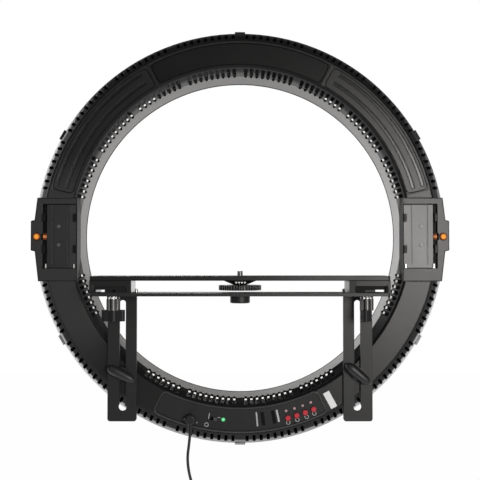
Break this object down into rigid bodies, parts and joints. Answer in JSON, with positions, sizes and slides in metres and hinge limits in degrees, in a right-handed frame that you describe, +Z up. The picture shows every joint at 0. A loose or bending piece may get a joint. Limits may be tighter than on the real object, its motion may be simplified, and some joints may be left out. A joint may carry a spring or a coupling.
{
  "type": "led ring light",
  "caption": "Round ring light with a milky diffuser, battery bays, a rear control panel and a slotted camera bracket that clamps to its back and stands on a light stand.",
  "frame": {"origin": "mouth of the threaded stand socket, in the middle of the bracket's lower rail", "axes": "+Z up along the socket, +Y along the ring's axis towards the light side, +X to the right seen from behind"},
  "size_m": [0.4789, 0.1125, 0.593],
  "materials": {
    "aluminium": "rolled sheet",
    "battery_plate": "dark grey",
    "black_paint": "matte powder coat",
    "black_part": "black",
    "black_steel": "black oxide",
    "brass": "turned",
    "clip": "clear",
    "component": "electronic parts",
    "contact": "nickel plated",
    "cool_led": "cool phosphor",
    "cord": "black sheath",
    "diffuser": "milky translucent",
    "green_board": "green solder mask",
    "housing": "moulded matte black",
    "indicator": "pale red lens",
    "inner_wall": "milky grey",
    "knob": "satin black",
    "orange": "orange",
    "panel": "matte black sheet",
    "power_green": "green lens",
    "red": "red",
    "rim": "satin black",
    "steel": "zinc plated",
    "stud": "steel",
    "switch_cap": "dark grey",
    "tie": "hook and loop",
    "warm_led": "warm phosphor",
    "white_board": "white solder mask",
    "window": "dark window"
  },
  "bodies": {
    "bracket": {"camera_rail": "black_paint", "stand_rail": "black_paint", "end_bracket_left": "black_paint", "end_bracket_right": "black_paint", "rail_screws": "steel", "stand_socket": "black_paint"},
    "arms": {"arm_left": "black_paint", "arm_right": "black_paint", "arm_nuts": "black_steel"},
    "ring": {"rear_housing": "housing", "front_frame": "rim", "front_diffuser": "diffuser", "inner_wall": "inner_wall", "rim_clips": "clip", "heat_spreader": "aluminium", "led_board": "white_board", "warm_leds": "warm_led", "cool_leds": "cool_led", "housing_screws": "steel", "clamp_inserts": "brass", "top_plate": "panel", "control_panel": "panel", "indicator_leds": "indicator", "power_led": "power_green", "display_windows": "window", "dc_jack": "black_part", "driver_board": "green_board", "driver_parts": "component", "battery_bay_left": "housing", "battery_bay_right": "housing", "battery_plate_left": "battery_plate", "battery_plate_right": "battery_plate", "battery_contacts": "contact", "release_spring_left": "steel", "release_spring_right": "steel", "dc_plug": "black_part", "power_cord": "cord", "cord_coil": "cord", "coil_tie": "tie", "cord_connector": "black_part"},
    "camera_carriage": {"camera_collar": "black_part"},
    "camera_screw_knob": {"camera_knob": "knob", "camera_screw": "stud"},
    "power_switch": {"power_switch": "switch_cap"},
    "arm_knob_left": {"arm_knob_left": "knob", "arm_stud_left": "stud"},
    "clamp_lever_left": {"clamp_lever_left": "knob", "clamp_stud_left": "stud"},
    "release_button_left": {"release_button_left": "orange"},
    "latch_left": {"latch_left": "orange"},
    "arm_knob_right": {"arm_knob_right": "knob", "arm_stud_right": "stud"},
    "clamp_lever_right": {"clamp_lever_right": "knob", "clamp_stud_right": "stud"},
    "release_button_right": {"release_button_right": "orange"},
    "latch_right": {"latch_right": "orange"},
    "red_button_1": {"red_button_1": "red"},
    "red_button_2": {"red_button_2": "red"},
    "red_button_3": {"red_button_3": "red"},
    "red_button_4": {"red_button_4": "red"}
  },
  "joints": [
    {"name": "arms_slide", "type": "slide", "parent": "bracket", "child": "arms", "axis": [1, 0, 0], "range_m": [-0.007, 0.007]},
    {"name": "ring_height", "type": "slide", "parent": "arms", "child": "ring", "axis": [0, 0, 1], "range_m": [-0.027, 0.04]},
    {"name": "camera_slide", "type": "slide", "parent": "bracket", "child": "camera_carriage", "axis": [1, 0, 0], "range_m": [-0.05, 0.05]},
    {"name": "camera_knob_turn", "type": "hinge", "parent": "camera_carriage", "child": "camera_screw_knob", "pos_m": [0, 0, 0.016], "axis": [0, 0, 1], "continuous": true},
    {"name": "arm_knob_turn_left", "type": "hinge", "parent": "arms", "child": "arm_knob_left", "pos_m": [-0.134, 0, -0.005], "axis": [0, 0, 1], "continuous": true},
    {"name": "clamp_lever_turn_left", "type": "hinge", "parent": "ring", "child": "clamp_lever_left", "pos_m": [-0.1272, 0.015, -0.07699], "axis": [0, -1, 0], "continuous": true},
    {"name": "release_press_left", "type": "slide", "parent": "ring", "child": "release_button_left", "axis": [0, 1, 0], "range_m": [0, 0.002], "stiffness_N_per_m": 900, "deforming": ["release_spring_left"]},
    {"name": "latch_slide_left", "type": "slide", "parent": "ring", "child": "latch_left", "axis": [-1, 0, 0], "range_m": [0, 0.002]},
    {"name": "arm_knob_turn_right", "type": "hinge", "parent": "arms", "child": "arm_knob_right", "pos_m": [0.134, 0, -0.005], "axis": [0, 0, 1], "continuous": true},
    {"name": "clamp_lever_turn_right", "type": "hinge", "parent": "ring", "child": "clamp_lever_right", "pos_m": [0.1272, 0.015, -0.07699], "axis": [0, -1, 0], "continuous": true},
    {"name": "release_press_right", "type": "slide", "parent": "ring", "child": "release_button_right", "axis": [0, 1, 0], "range_m": [0, 0.002], "stiffness_N_per_m": 900, "deforming": ["release_spring_right"]},
    {"name": "latch_slide_right", "type": "slide", "parent": "ring", "child": "latch_right", "axis": [1, 0, 0], "range_m": [0, 0.002]},
    {"name": "red_button_press_1", "type": "slide", "parent": "ring", "child": "red_button_1", "axis": [0, 1, 0], "range_m": [0, 0.0009], "stiffness_N_per_m": 1600},
    {"name": "red_button_press_2", "type": "slide", "parent": "ring", "child": "red_button_2", "axis": [0, 1, 0], "range_m": [0, 0.0009], "stiffness_N_per_m": 1600},
    {"name": "red_button_press_3", "type": "slide", "parent": "ring", "child": "red_button_3", "axis": [0, 1, 0], "range_m": [0, 0.0009], "stiffness_N_per_m": 1600},
    {"name": "red_button_press_4", "type": "slide", "parent": "ring", "child": "red_button_4", "axis": [0, 1, 0], "range_m": [0, 0.0009], "stiffness_N_per_m": 1600},
    {"name": "power_switch_slide", "type": "slide", "parent": "ring", "child": "power_switch", "axis": [-0.991, 0, 0.134], "range_m": [0, 0.0038]}
  ],
  "couplings": [
    {"joint": "latch_slide_left", "follows": "release_press_left", "ratio": 1},
    {"joint": "latch_slide_right", "follows": "release_press_right", "ratio": 1}
  ]
}
